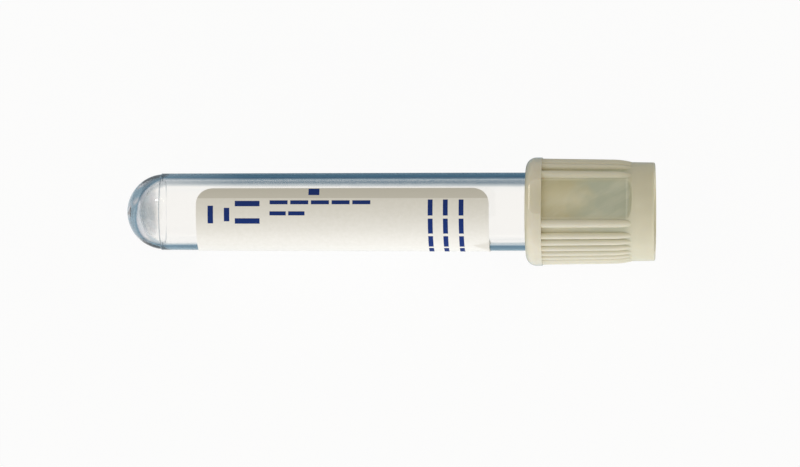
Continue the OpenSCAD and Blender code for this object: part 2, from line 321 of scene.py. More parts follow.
# %% Lamps
def lamp(name, offset, wide, high, watts, colour):
    """A soft lamp of that width and height, that far from the part's middle and turned to it."""
    data = bpy.data.lights.new(name, "AREA")
    data.shape, data.size, data.size_y = "RECTANGLE", wide, high
    data.energy, data.color = watts, linear(colour)[:3]
    made = bpy.data.objects.new(name, data)
    middle = (cad_low + cad_high) / 2
    made.location = middle + Vector(offset)
    made.rotation_euler = (-Vector(offset)).to_track_quat("-Z", "Y").to_euler()
    made.visible_camera = False
    bpy.context.scene.collection.objects.link(made)
    return made


broad = lamp("low_side_lamp", (0.05, -0.6, 0.028), 0.6, 0.05, 0.43, "#F6F9FF")
broad.visible_glossy = broad.visible_transmission = False
small = lamp("small_high_lamp", (-0.27, 0.2, 0.5), 0.05, 0.05, 0.45, "#FFF4E2")
small.visible_diffuse = False

# %% [markdown]
# ## Camera
#
# The tube is seen from above and from a little to its side, with the closure to the right. A
# long lens from over a metre away keeps both ends the same size. The camera could be framed
# by eye. Here it is placed by directions taken from the tube, 17 degrees off straight up
# towards -Y and 3.6 degrees towards the closure, so it stays right if the model changes.

# %% Camera
LEAN, TOWARDS_CLOSURE = math.radians(17), math.radians(3.6)
LENS, SENSOR = 300, 36  # millimetres
FIELD = 132.56 * MM  # width of what the camera takes in
AIM_ALONG, AIM_BELOW = 45.37 * MM, 3.61 * MM  # from the tip, and below the axis in the view

back = UP * math.cos(LEAN) + SIDE * math.sin(LEAN)
back = back * math.cos(TOWARDS_CLOSURE) + AXIS * math.sin(TOWARDS_CLOSURE)
right = (AXIS - back * AXIS.dot(back)).normalized()
above = back.cross(right)

camera = bpy.data.objects.new("camera", bpy.data.cameras.new("camera"))
bpy.context.scene.collection.objects.link(camera)
bpy.context.scene.camera = camera
camera.data.lens, camera.data.sensor_width = LENS, SENSOR
distance = FIELD * LENS / SENSOR
camera.rotation_mode = "QUATERNION"
camera.rotation_quaternion = Matrix((right, above, back)).transposed().to_quaternion()
camera.location = TIP + AXIS * AIM_ALONG - above * AIM_BELOW + back * distance
camera.data.clip_start, camera.data.clip_end = 0.05, 20
print("camera distance m:", round(distance, 3))

# %% [markdown]
# ## Clear plastic
#
# The tube is injection-moulded PET, polished in the mould: glass-clear where the eye looks
# straight through the wall, and dull blue where it looks along it. Absorption in the volume
# would be truer, but the wall is under a millimetre thick and its blue comes mostly from what
# it mirrors. So the outer skin is tinted by Layer Weight, a painted reflection of the dim blue
# surroundings over the plastic's own faint blue, and the bore isn't. A shader can't ask which
# of the two it is on, so it measures how far the point lies from the axis, and in the round
# end from the centre of the round.

# %% Where the skin is
ROUND_END = 6.237 * MM  # radius of the round end, and how far its centre is from the tip
SKIN_FROM = 6.0  # mm: the skin lies farther out than this, and the bore nearer

pet, tree = new_material("clear_moulded_pet")
spot = add(tree, "ShaderNodeTexCoord").outputs["Object"]
along, out_mm = place_on_tube(tree, spot, ROUND_END)
outside = add(tree, "ShaderNodeMath", {"operation": "GREATER_THAN"}, out_mm, SKIN_FROM)
near_tip = add(tree, "ShaderNodeMapRange", {}, along, 0.0, ROUND_END / MM, 1.0, 0.0)
print("round end mm:", round(ROUND_END / MM, 3))

# %% [markdown]
# ## Painted reflection and shade along the edges
#
# The painted reflection and shade is darkest a little inside the edge. Towards the tip the
# wall gets thicker, and the dark edge starts farther in, but not on the -Y side, where the
# light comes from. That widening on the side away from the light is painted shade.

# %% Tint: painted reflection and shade
facing = add(tree, "ShaderNodeLayerWeight", Blend=0.5).outputs["Facing"]
to_side = add(tree, "ShaderNodeSeparateXYZ", {}, spot).outputs["Y"]
# Painted shade: away from the -Y side, the dark edge widens towards the tip.
shaded_side = add(tree, "ShaderNodeMapRange", {}, to_side, -5 * MM, -1 * MM)
shade_widening = add(tree, "ShaderNodeMath", {"operation": "MULTIPLY_ADD"}, near_tip, shaded_side, 1.0)
slant = add(tree, "ShaderNodeMath", {"operation": "MULTIPLY"}, facing, shade_widening)
slant = add(tree, "ShaderNodeMath", {"operation": "MULTIPLY"}, slant, outside)
# Painted reflection and shade: near white face-on, dark blue along the edges.
edge_shade_and_salt = add(tree, "ShaderNodeValToRGB", {"stops": (
    (0.44, "#FEFDFB"), (0.49, "#B4C4CD"), (0.53, "#38627D"),
    (0.6, "#476E85"), (0.7, "#5E8296"), (0.8, "#4A6E83"))}, slant)
print("tint stops:", len(edge_shade_and_salt.color_ramp.elements))

# %% [markdown]
# ## Salt behind the tip's wall
#
# Salt that dried on the inside of the round end shows through its wall in two ways: as pale
# cakes in the painted dark edge, and as a patchy haze in the clear middle, greyer at the very tip.
# The film itself comes further on, but the wall bends it out of shape, so most of what it
# gives the eye from outside is mixed into the colour of the skin, in blotches of about 3 mm.

# %% Cakes and haze
CAKES, HAZE = 2.6, 3.2  # mm across
blotches = add(tree, "ShaderNodeTexNoise", Vector=spot, Scale=scale_of(CAKES), Detail=2.0)
caked = add(tree, "ShaderNodeMapRange", {}, blotches, 0.52, 0.66, 0.0, 0.6)
for value, low, high in ((near_tip, 0.25, 0.7), (slant, 0.4, 0.5)):
    there = add(tree, "ShaderNodeMapRange", {}, value, low, high)
    caked = add(tree, "ShaderNodeMath", {"operation": "MULTIPLY"}, caked, there)
edge_shade_and_salt = add(tree, "ShaderNodeMix", {"data_type": "RGBA"}, caked, edge_shade_and_salt, linear("#CFC6C2"))

blotches = add(tree, "ShaderNodeTexNoise", Vector=spot, Scale=scale_of(HAZE), Detail=2.0)
haze = add(tree, "ShaderNodeValToRGB", {"stops": (
    (0.38, "#E6DDD4"), (0.48, "#D5CCD2"), (0.58, "#B4C5CE"))}, blotches)
at_tip = add(tree, "ShaderNodeMapRange", {}, near_tip, 0.55, 0.78)
haze = add(tree, "ShaderNodeMix", {"data_type": "RGBA"}, at_tip, haze, linear("#B9BFC4"))
hazy = add(tree, "ShaderNodeMapRange", {}, near_tip, 0.36, 0.7, 0.0, 0.9)
inside_edge = add(tree, "ShaderNodeMapRange", {}, slant, 0.5, 0.56, 1.0, 0.0)
hazy = add(tree, "ShaderNodeMath", {"operation": "MULTIPLY"}, hazy, inside_edge)
edge_shade_and_salt = add(tree, "ShaderNodeMix", {"data_type": "RGBA"}, hazy, edge_shade_and_salt, haze)
print("cakes and haze mm across:", CAKES, HAZE)

# %% [markdown]
# ## Parting line and relief
#
# The parting line, where the two halves of the mould met, runs round the tube as a hair-fine
# ridge. In the solid it is a plain edge, which the eye would miss from this far, so a bump
# and a greyer line of painted shade bring it out. The rest of the skin is very slightly wavy,
# which breaks up what it mirrors.

# %% Parting line and relief
PARTING = 5.8  # mm from the tip
off_line = add(tree, "ShaderNodeMath", {"operation": "SUBTRACT"}, along, PARTING)
off_line = add(tree, "ShaderNodeMath", {"operation": "ABSOLUTE"}, off_line)
ridge = add(tree, "ShaderNodeMapRange", {}, off_line, 0.01, 0.09, 1.0, 0.0)
# Painted shade: a greyer line along the ridge.
edge_shade_and_salt = add(tree, "ShaderNodeMix", {"data_type": "RGBA"}, ridge, edge_shade_and_salt, linear("#97A6AF"))

waves = add(tree, "ShaderNodeTexNoise", Vector=spot, Scale=scale_of(3.0), Detail=1.0)
relief = add(tree, "ShaderNodeBump", Height=waves, Strength=1.0, Distance=0.008 * MM)
relief = add(tree, "ShaderNodeBump", Height=ridge, Strength=1.0, Distance=0.03 * MM,
             Normal=relief)
print("parting line mm from the tip:", PARTING)

# %% [markdown]
# ## How light passes the tube
#
# Lamp light would have to find its way through two refracting walls, which a path tracer does
# badly. So shadow rays pass a plain transparent shader instead, tinted darker along the edges
# too. Rays that left a matt surface pass it almost untinted, so that light reaches the back
# of the label through the tube.

# %% Tube material
glass = add(tree, "ShaderNodeBsdfPrincipled", Base_Color=edge_shade_and_salt, Roughness=0.03, IOR=1.57,
            Transmission_Weight=1.0, Normal=relief)
rays = add(tree, "ShaderNodeLightPath").outputs
shade = add(tree, "ShaderNodeValToRGB", {"stops": ((0.2, "#F6F9FA"), (0.75, "#A5B5C0"))}, facing)
shade = add(tree, "ShaderNodeMix", {"data_type": "RGBA"},
            rays["Is Diffuse Ray"], shade, linear("#FBFCFC"))
clear = add(tree, "ShaderNodeBsdfTransparent", Color=shade)
lets_light = add(tree, "ShaderNodeMath", {"operation": "MAXIMUM"},
                 rays["Is Shadow Ray"], rays["Is Diffuse Ray"])
surface = add(tree, "ShaderNodeMixShader", {}, lets_light, glass, clear)
add(tree, "ShaderNodeOutputMaterial", Surface=surface)
dress(frame["nodes"]["tube"], pet)
print("tube faces:", len(frame["nodes"]["tube"].data.polygons))

# %% [markdown]
# ## Geometry Nodes, set up once
#
# The label and its print are both flat things wrapped round the barrel. A Simple Deform
# modifier bends too, but not round a barrel that is tilted and widens. So each is laid out
# flat, x along the tube, y round it and z above the paper's underside, and a small tree then
# bends it. The first two helpers make an empty tree with named sizes, and run one on a mesh.
# The third adds the nodes that bend.

# %% Tree helpers
def geometry_tree(name, **sizes):
    """An empty tree with its geometry sockets and one named number for each size."""
    tree = bpy.data.node_groups.new(name, "GeometryNodeTree")
    for way in ("INPUT", "OUTPUT"):
        tree.interface.new_socket("Geometry", in_out=way, socket_type="NodeSocketGeometry")
    for key, value in sizes.items():
        socket = tree.interface.new_socket(key.replace("_", " "), in_out="INPUT",
                                           socket_type="NodeSocketFloat")
        socket.default_value = value
    return tree, tree.nodes.new("NodeGroupInput").outputs


def grow(name, mesh, tree, **sizes):
    """Runs a tree on a mesh, and returns an object that holds the result as a plain mesh."""
    made = bpy.data.objects.new(name, mesh)
    bpy.context.scene.collection.objects.link(made)
    modifier = made.modifiers.new(tree.name, "NODES")
    modifier.node_group = tree
    for item in tree.interface.items_tree:
        key = item.name.replace(" ", "_")
        if item.in_out == "INPUT" and key in sizes:
            modifier[item.identifier] = float(sizes[key])
    evaluated = made.evaluated_get(bpy.context.evaluated_depsgraph_get())
    plain = bpy.data.meshes.new_from_object(evaluated)
    made.modifiers.clear()
    made.data = plain
    plain.name = name
    return made


print("tree helpers ready")

# %% Wrap helper
def wrap(tree, flat, sizes):
    """Adds the nodes that bend a flat layout round the barrel, face side out."""
    flat_place = add(tree, "GeometryNodeInputPosition")
    x, y, z = add(tree, "ShaderNodeSeparateXYZ", {}, flat_place).outputs
    turn = add(tree, "ShaderNodeMath", {"operation": "DIVIDE"}, y, sizes["Start Radius"])
    turn = add(tree, "ShaderNodeMath", {"operation": "ADD"}, sizes["First Angle"], turn)
    wider = add(tree, "ShaderNodeMath", {"operation": "SUBTRACT"}, x, sizes["Start"])
    wider = add(tree, "ShaderNodeMath", {"operation": "MULTIPLY"}, wider, sizes["Taper"])
    radius = add(tree, "ShaderNodeMath", {"operation": "ADD"}, sizes["Start Radius"], wider)
    radius = add(tree, "ShaderNodeMath", {"operation": "ADD"}, radius, z)
    spot = add(tree, "ShaderNodeVectorMath", {"operation": "SCALE"}, AXIS, x)
    spot = add(tree, "ShaderNodeVectorMath", {"operation": "ADD"}, TIP, spot)
    for direction, share_of in ((UP, "COSINE"), (SIDE, "SINE")):
        share = add(tree, "ShaderNodeMath", {"operation": share_of}, turn)
        length = add(tree, "ShaderNodeMath", {"operation": "MULTIPLY"}, share, radius)
        step = add(tree, "ShaderNodeVectorMath", {"operation": "SCALE"}, direction, length)
        spot = add(tree, "ShaderNodeVectorMath", {"operation": "ADD"}, spot, step)
    bent = add(tree, "GeometryNodeSetPosition", Geometry=flat, Position=spot)
    return add(tree, "GeometryNodeFlipFaces", Mesh=bent)


print("wrap helper ready")

# %% [markdown]
# ## Where the label lies
#
# The label's solid from the CAD model is a plain wrap. A real one is paper: it shows its
# thickness at the edge, and it puckers where it crosses onto the wider land under the
# closure. So the label is made anew in the same place, which is measured from the solid: how
# far along it starts and ends, how far out its underside lies, and at which angle it begins.

# %% Measure the label
around = []  # along, out, and turn from the upper edge's side, for each of its points
for vertex in frame["nodes"]["label"].data.vertices:
    p = vertex.co - TIP
    radial = p - AXIS * p.dot(AXIS)
    turn = (math.atan2(radial.dot(SIDE), radial.dot(UP)) + math.pi / 2) % math.tau
    around.append((p.dot(AXIS), radial.length, turn))
label_from, label_to = min(a[0] for a in around), max(a[0] for a in around)
first_ring = [a[1] for a in around if a[0] < label_from + 0.01 * MM]
last_ring = [a[1] for a in around if a[0] > label_to - 0.01 * MM]
PAPER = max(first_ring) - min(first_ring)
WRAP = {
    "First_Angle": min(a[2] for a in around) - math.pi / 2,
    "Start": label_from,
    "Start_Radius": min(first_ring),
    "Taper": (min(last_ring) - min(first_ring)) / (label_to - label_from),
}
print("label mm: from", round(label_from / MM, 2), "to", round(label_to / MM, 2),
      "thickness", round(PAPER / MM, 3))

# %% [markdown]
# ## Label paper
#
# Label stock is wood-free paper with a satin coating: warm white, with a faint fibre mottle
# and almost no relief. Real fibres are a few hundredths of a millimetre wide, so the mottle
# is drawn coarser than it is, at half a millimetre, to show at all. A field of painted shade,
# darker grey-beige, runs along the upper edge. It is placed by the sheet's own UV map, which
# counts tenths of a metre, round the tube in U and along it in V. The back is uncoated:
# rougher, greyer and quite matt.

# %% Coated face
FIELD_EDGE = 1.85  # mm from the label's upper edge
UV_MM = 100.0  # millimetres in one unit of the UV map
paper, tree = new_material("coated_label_paper")
spot = add(tree, "ShaderNodeTexCoord").outputs["Object"]
sheet_uv = add(tree, "ShaderNodeUVMap", {"uv_map": "layout"})
round_tube = add(tree, "ShaderNodeSeparateXYZ", {}, sheet_uv).outputs["X"]
from_edge = add(tree, "ShaderNodeMath", {"operation": "MULTIPLY"}, round_tube, UV_MM)
# Painted shade: a darker field along the upper edge.
upper_edge_shade = add(tree, "ShaderNodeMath", {"operation": "LESS_THAN"}, from_edge, FIELD_EDGE)
mottle = add(tree, "ShaderNodeTexNoise", Vector=spot, Scale=scale_of(0.6), Detail=3.0)
white = add(tree, "ShaderNodeValToRGB", {"stops": ((0.3, "#F2EFE9"), (0.7, "#F6F3EE"))}, mottle)
paper_with_upper_shade = add(tree, "ShaderNodeMix", {"data_type": "RGBA"}, upper_edge_shade, white, linear("#DDD9D0"))
satin = add(tree, "ShaderNodeTexNoise", Vector=spot, Scale=scale_of(2.5), Detail=2.0)
rough = add(tree, "ShaderNodeMapRange", {}, satin, 0.3, 0.7, 0.42, 0.5)
tooth = add(tree, "ShaderNodeTexNoise", Vector=spot, Scale=scale_of(0.25), Detail=3.0)
relief = add(tree, "ShaderNodeBump", Height=tooth, Strength=1.0, Distance=0.004 * MM)
face = add(tree, "ShaderNodeBsdfPrincipled", Base_Color=paper_with_upper_shade, Roughness=rough, IOR=1.48,
           Normal=relief)
add(tree, "ShaderNodeOutputMaterial", Surface=face)
print("paper:", paper.name)

# %% Uncoated back
backing, tree = new_material("uncoated_paper_back")
spot = add(tree, "ShaderNodeTexCoord").outputs["Object"]
fibres = add(tree, "ShaderNodeTexNoise", Vector=spot, Scale=scale_of(0.5), Detail=4.0)
pulp = add(tree, "ShaderNodeValToRGB", {"stops": ((0.3, "#F0F1EF"), (0.7, "#F8F8F6"))}, fibres)
tooth = add(tree, "ShaderNodeTexNoise", Vector=spot, Scale=scale_of(0.2), Detail=3.0)
relief = add(tree, "ShaderNodeBump", Height=tooth, Strength=1.0, Distance=0.006 * MM)
face = add(tree, "ShaderNodeBsdfPrincipled", Base_Color=pulp, Roughness=0.85, IOR=1.48,
           Normal=relief)
add(tree, "ShaderNodeOutputMaterial", Surface=face)
print("paper back:", backing.name)

# %% [markdown]
# ## The label, cut flat
#
# A plane with Solidify would be a label too, but its corners, its back and its pucker are
# easier to rule point by point. The sheet has two faces and a rim, so that its edge shows.
# Its rows run round the tube, and they get shorter towards the ends along the rounded
# corners, which are wider on the far side. Near the closure the rows lie closer, because a
# pucker starts there: a narrow cone of paper that lifts off the barrel, widest at the edge,
# with a long slope on one side of its crest and a short steep one on the other.

# %% Rules of the cut
CORNER, FAR_CORNER = 2.8 * MM, 5.0 * MM
CORNER_STEPS, FAR_STEPS = 9, 12
SHEET = 20.9 * MM  # how far the paper goes round
PUCKER_FROM = label_to - 2.9 * MM
PUCKER_MIDDLE, PUCKER_HALF, PUCKER_LIFT = 10.6 * MM, 1.35 * MM, 0.8 * MM
CREST = 0.5  # where the crest lies, from -1 at the foot of the long slope to 1


def spread(*parts):
    """Positions from parts given as a start, an end and a number of steps."""
    found = [parts[0][0]]
    for start, end, steps in parts:
        found += [start + (end - start) * (i + 1) / steps for i in range(steps)]
    return found


def pucker_lift(x, y):
    """How far the paper stands off the barrel."""
    t = max(0.0, (x - PUCKER_FROM) / (label_to - PUCKER_FROM))
    off = (y - PUCKER_MIDDLE) / (PUCKER_HALF * t) if t else 2.0
    rise = (off + 1) / (1 + CREST) if off < CREST else (1 - off) / (1 - CREST)
    return PUCKER_LIFT * t * math.sin(rise * math.pi / 2) ** 2 if abs(off) < 1 else 0.0


def inset(d, radius):
    """How far a rounded corner cuts in, at a distance from the sheet's end."""
    return radius - math.sqrt(radius ** 2 - (radius - d) ** 2) if d < radius else 0.0


print("paper mm:", round((label_to - label_from) / MM, 2), "x", round(SHEET / MM, 2))

# %% Lay out the label's points
bend = []  # distances from a sheet's end at which a rounded corner needs a row
for radius, steps in ((CORNER, CORNER_STEPS), (FAR_CORNER, FAR_STEPS)):
    bend += [radius * (1 - math.cos(math.pi / 2 * i / steps)) for i in range(steps + 1)]
rows = [label_from + b for b in bend] + [label_to - b for b in bend]
rows += spread((label_from + 5 * MM, label_to - 7 * MM, 24),
               (label_to - 7 * MM, label_to - CORNER, 28))
rows += [label_to - CORNER * i / 18 for i in range(1, 18)]
rows = sorted({round(x, 7) for x in rows})
columns = spread((0, 8.8 * MM, 34), (8.8 * MM, 12.4 * MM, 36), (12.4 * MM, SHEET, 40))

points, uvs = [], []
for side in (PAPER, 0.0):
    for x in rows:
        d = max(0.0, min(x - label_from, label_to - x))
        first, last = inset(d, CORNER), SHEET - inset(d, FAR_CORNER)
        for y in columns:
            y = first + y / SHEET * (last - first)
            points.append((x, y, side + pucker_lift(x, y)))
            uvs.append((y / (UV_MM * MM), x / (UV_MM * MM)))
print("label rows and columns:", len(rows), len(columns))

# %% Join the label's faces
across = len(columns)
under = len(rows) * across  # where the points of the underside start
faces, is_back = [], []
for i in range(len(rows) - 1):
    for j in range(across - 1):
        a, b = i * across + j, (i + 1) * across + j
        faces += [(a, b, b + 1, a + 1), (under + a, under + a + 1, under + b + 1, under + b)]
        is_back += [False, True]
rim = list(range(across)) + [i * across + across - 1 for i in range(1, len(rows))]
rim += [(len(rows) - 1) * across + j for j in range(across - 2, -1, -1)]
rim += [i * across for i in range(len(rows) - 2, 0, -1)]
for a, b in zip(rim, rim[1:] + rim[:1]):
    faces.append((a, b, under + b, under + a))
    is_back.append(False)

flat = bpy.data.meshes.new("label_flat")
flat.from_pydata(points, [], faces)
flat.polygons.foreach_set("use_smooth", [True] * len(faces))
layout = flat.uv_layers.new(name="layout")
for loop in flat.loops:
    layout.data[loop.index].uv = uvs[loop.vertex_index]
backs = flat.attributes.new("back", "BOOLEAN", "FACE")
backs.data.foreach_set("value", is_back)
print("flat label faces:", len(faces))

# %% [markdown]
# ## The label, wrapped
#
# The tree bends the flat sheet, gives it the coated face all over, and then the uncoated back
# where the sheet's own attribute says so. The two could be given face by face in code, but
# this way the flat sheet needs no material at all. Sharp edges are marked after that, so that
# the rim stays crisp.

# %% Wrap the label
tree, entry = geometry_tree("wrap_a_sheet", First_Angle=0.0, Start=0.0,
                            Start_Radius=6.4 * MM, Taper=0.0)
bent = wrap(tree, entry["Geometry"], entry)
real = add(tree, "GeometryNodeRealizeInstances", Geometry=bent)
front = add(tree, "GeometryNodeSetMaterial", Geometry=real, Material=paper)
on_back = add(tree, "GeometryNodeInputNamedAttribute", {"data_type": "BOOLEAN"}, Name="back")
both = add(tree, "GeometryNodeSetMaterial", Geometry=front, Selection=on_back, Material=backing)
add(tree, "NodeGroupOutput", Geometry=both)

label = grow("label_paper", flat, tree, **WRAP)
label.data.set_sharp_from_angle(angle=math.radians(50))
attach(label, "tube_body")
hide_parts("label")
print("label faces:", len(label.data.polygons))
print("label materials:", [m.name for m in label.data.materials])

# %% [markdown]
# ## Print
#
# What is printed on the label is kept to plain marks: lines of short bars, four larger bars
# near the round end, and one square that marks the upper edge. They could be painted by the
# paper's shader, but patches of their own keep crisp edges from close by. The ink is a dark
# blue that soaks in unevenly, so it has little gloss and a fine mottle, drawn at a tenth of a
# millimetre, which is coarser than it is.

# %% Ink
ink, tree = new_material("blue_printing_ink")
spot = add(tree, "ShaderNodeTexCoord").outputs["Object"]
soak = add(tree, "ShaderNodeTexNoise", Vector=spot, Scale=scale_of(0.12), Detail=2.0)
cover = add(tree, "ShaderNodeValToRGB", {"stops": ((0.35, "#123680"), (0.6, "#0B2C78"))}, soak)
face = add(tree, "ShaderNodeBsdfPrincipled", Base_Color=cover, Roughness=0.6, IOR=1.5,
           Specular_IOR_Level=0.2)
add(tree, "ShaderNodeOutputMaterial", Surface=face)
print("ink:", ink.name)

# %% List the marks
# Each mark is its middle along and round, and its length along and round, in millimetres.
THIN, THICK, COLUMN = 0.66, 0.9, 0.8
LINES = ((25.7, 2.55, 2.98, 3.42, 5), (25.55, 4.35, 2.7, 3.1, 2))
marks = [(31.5, 0.72, 1.8, 1.2)]  # the square at the upper edge
for first, row, bar, pitch, count in LINES:
    marks += [(first + i * pitch, row, bar, THIN) for i in range(count)]
marks += [(14.4, 4.55, THICK, 2.9), (17.1, 4.55, THICK, 2.2)]
marks += [(20.5, 2.75, 4.1, THICK), (20.5, 5.6, 4.1, THICK)]
for line in (50.75, 53.25, 55.85):
    marks += [(line, 3.4 + i * 3.1, COLUMN, 2.6) for i in range(6)]
print("marks:", len(marks))

# %% [markdown]
# ## The marks, stamped
#
# A mark is a point that carries its two lengths. The tree puts a flat patch of that size on
# each point, lifts all of them just clear of the paper, wraps them and gives them the ink. A
# patch has 16 steps round the tube, so that it follows the paper's curve.

# %% Print the marks
CLEAR_OF_PAPER = 0.008 * MM
spots = bpy.data.meshes.new("mark_spots")
spots.from_pydata([(a * MM, b * MM, 0) for a, b, _, _ in marks], [], [])
sizes = spots.attributes.new("size", "FLOAT_VECTOR", "POINT")
for item, (_, _, long, wide) in zip(sizes.data, marks):
    item.vector = (long * MM, wide * MM, 1.0)

tree, entry = geometry_tree("print_marks", First_Angle=0.0, Start=0.0,
                            Start_Radius=6.4 * MM, Taper=0.0, Proud=0.11 * MM)
stamps = add(tree, "GeometryNodeMeshToPoints", Mesh=entry["Geometry"])
patch = add(tree, "GeometryNodeMeshGrid", Size_X=1.0, Size_Y=1.0, Vertices_X=2, Vertices_Y=17)
size = add(tree, "GeometryNodeInputNamedAttribute", {"data_type": "FLOAT_VECTOR"}, Name="size")
placed = add(tree, "GeometryNodeInstanceOnPoints", Points=stamps, Instance=patch, Scale=size)
real = add(tree, "GeometryNodeRealizeInstances", Geometry=placed)
rise = add(tree, "ShaderNodeCombineXYZ", Z=entry["Proud"])
raised = add(tree, "GeometryNodeSetPosition", Geometry=real, Offset=rise)
bent = wrap(tree, raised, entry)
inked = add(tree, "GeometryNodeSetMaterial", Geometry=bent, Material=ink)
add(tree, "NodeGroupOutput", Geometry=inked)

marks_on_label = grow("label_print", spots, tree, Proud=PAPER + CLEAR_OF_PAPER, **WRAP)
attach(marks_on_label, "tube_body")
print("print faces:", len(marks_on_label.data.polygons))

# %% [markdown]
# ## Salt film
#
# What dries in the round end is a thin film of salt, patchy and half clear. Its blue-grey cast
# is painted light: it stands for the light that comes to it through the plastic round it. The
# film is the CAD solid. Holes could be cut in it, but its patches have no clear edge, so its
# shader mixes plain transparency with matt white by a noise mask. It fades out before the
# parting line.

# %% Salt film
salt, tree = new_material("dried_salt_film")
spot = add(tree, "ShaderNodeTexCoord").outputs["Object"]
along, _ = place_on_tube(tree, spot)
patches = add(tree, "ShaderNodeTexNoise", Vector=spot, Scale=scale_of(3.4), Detail=2.0)
cover = add(tree, "ShaderNodeMapRange", {}, patches, 0.35, 0.6, 0.07, 0.28)
fade = add(tree, "ShaderNodeMapRange", {}, along, 3.0, 4.1, 1.0, 0.0)
cover = add(tree, "ShaderNodeMath", {"operation": "MULTIPLY"}, cover, fade)
blotches = add(tree, "ShaderNodeTexNoise", Vector=spot, Scale=scale_of(3.0), Detail=3.0)
# Painted light: the blue-grey cast of the light that comes through the plastic.
tone = add(tree, "ShaderNodeValToRGB", {"stops": (
    (0.38, "#D6DEEA"), (0.47, "#C2D1E0"), (0.56, "#A2C2D8"))}, blotches)
crust = add(tree, "ShaderNodeTexNoise", Vector=spot, Scale=scale_of(0.3), Detail=3.0)
relief = add(tree, "ShaderNodeBump", Height=crust, Strength=1.0, Distance=0.03 * MM)
matt = add(tree, "ShaderNodeBsdfPrincipled", Base_Color=tone, Roughness=0.9, IOR=1.45,
           Normal=relief)
clear = add(tree, "ShaderNodeBsdfTransparent", Color=WHITE)
surface = add(tree, "ShaderNodeMixShader", {}, cover, clear, matt)
add(tree, "ShaderNodeOutputMaterial", Surface=surface)
dress(frame["nodes"]["additive"], salt)
print("film:", salt.name)

# %% [markdown]
# ## Salt grains
#
# Some two hundred loose grains lie on the film, tiny white balls that Geometry Nodes scatter
# over the film's inner face, the one that looks along the tube, with fixed seeds. A grain is
# 0.06 to 0.16 mm across, so a ball of 20 faces is round enough.

# %% Grain material
grain, tree = new_material("salt_grains")
spot = add(tree, "ShaderNodeTexCoord").outputs["Object"]
mottle = add(tree, "ShaderNodeTexNoise", Vector=spot, Scale=scale_of(0.5), Detail=1.0)
tone = add(tree, "ShaderNodeValToRGB", {"stops": ((0.3, "#E6E9EB"), (0.7, "#F7F7F4"))}, mottle)
face = add(tree, "ShaderNodeBsdfPrincipled", Base_Color=tone, Roughness=0.6, IOR=1.54)
add(tree, "ShaderNodeOutputMaterial", Surface=face)
print("grain:", grain.name)

# %% Scatter the grains
# The density is in grains per square metre, and the sizes are a grain's radius.
tree, entry = geometry_tree("scatter_grains", Density=2.0e6, Smallest=0.03 * MM,
                            Largest=0.08 * MM)
normal = add(tree, "GeometryNodeInputNormal")
away = add(tree, "ShaderNodeVectorMath", {"operation": "DOT_PRODUCT"}, normal, AXIS)
inner = add(tree, "ShaderNodeMath", {"operation": "GREATER_THAN"}, away, 0.25)
scatter = add(tree, "GeometryNodeDistributePointsOnFaces", Mesh=entry["Geometry"],
              Selection=inner, Density=entry["Density"], Seed=7)
ball = add(tree, "GeometryNodeMeshIcoSphere", Radius=1.0, Subdivisions=1)
size = add(tree, "FunctionNodeRandomValue", {"data_type": "FLOAT"},
           Min=entry["Smallest"], Max=entry["Largest"], Seed=3)
placed = add(tree, "GeometryNodeInstanceOnPoints", Points=scatter, Instance=ball, Scale=size)
real = add(tree, "GeometryNodeRealizeInstances", Geometry=placed)
salted = add(tree, "GeometryNodeSetMaterial", Geometry=real, Material=grain)
add(tree, "NodeGroupOutput", Geometry=salted)

grains = grow("salt_grains", frame["nodes"]["additive"].data.copy(), tree)
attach(grains, "tube_body")
print("grain faces:", len(grains.data.polygons))

# %% [markdown]
# ## Shield plastic
#
# The shield is moulded in a soft, slightly translucent polyethylene from a spark-eroded
# mould, so it has a fine even matt texture. The plastic is ivory. The floors of the grooves
# are painted a little darker and yellower than the backs of the ribs, as painted shade in the
# recesses and where the wall is thin over the dark inside. That could be painted by hand, but
# it follows from how far out a point lies, so the nodes work it out from there. The collar is
# painted a little lighter and warmer than the grip, as painted light on its rounded edge, and
# the ring a little lighter, which follows from the place along the tube.

# %% Colour by place
shell, tree = new_material("translucent_polyethylene")
spot = add(tree, "ShaderNodeTexCoord").outputs["Object"]
along, out_mm = place_on_tube(tree, spot)
depth = add(tree, "ShaderNodeMapRange", {}, out_mm, 7.2, 8.9)
# Painted shade: groove floors darker and yellower than the backs of the ribs.
ivory_with_groove_shade = add(tree, "ShaderNodeValToRGB", {"stops": (
    (0.0, "#DCD5B6"), (0.1, "#D4CCAA"), (0.36, "#C7BF9B"), (0.45, "#DAD4BB"),
    (0.75, "#DFDAC7"), (1.0, "#E3DECF"))}, depth)
on_closure = add(tree, "ShaderNodeMapRange", {}, along, 66.0, 88.0)
# Painted light: the collar lighter and warmer, the ring a little lighter.
painted_light_by_end = add(tree, "ShaderNodeValToRGB", {"stops": (
    (0.05, "#EEECE8"), (0.1, "#E8E6E2"), (0.145, "#E5E3DD"), (0.2, "#E6E6E6"),
    (0.78, "#E6E6E6"), (0.855, "#E9E9E9"))}, on_closure)
print("shield colours:", len(ivory_with_groove_shade.color_ramp.elements), len(painted_light_by_end.color_ramp.elements))

# %% [markdown]
# ## Flats of the shield
#
# Over the two flats the plastic is thin. The dark rubber behind it shows through as olive,
# with an uneven start, and pale streaks run slanting over it: a painted highlight, the sheen
# of the flats. Deeper subsurface scattering could bring out the rubber too, but it takes many
# more samples, so the colour is mixed in by place.

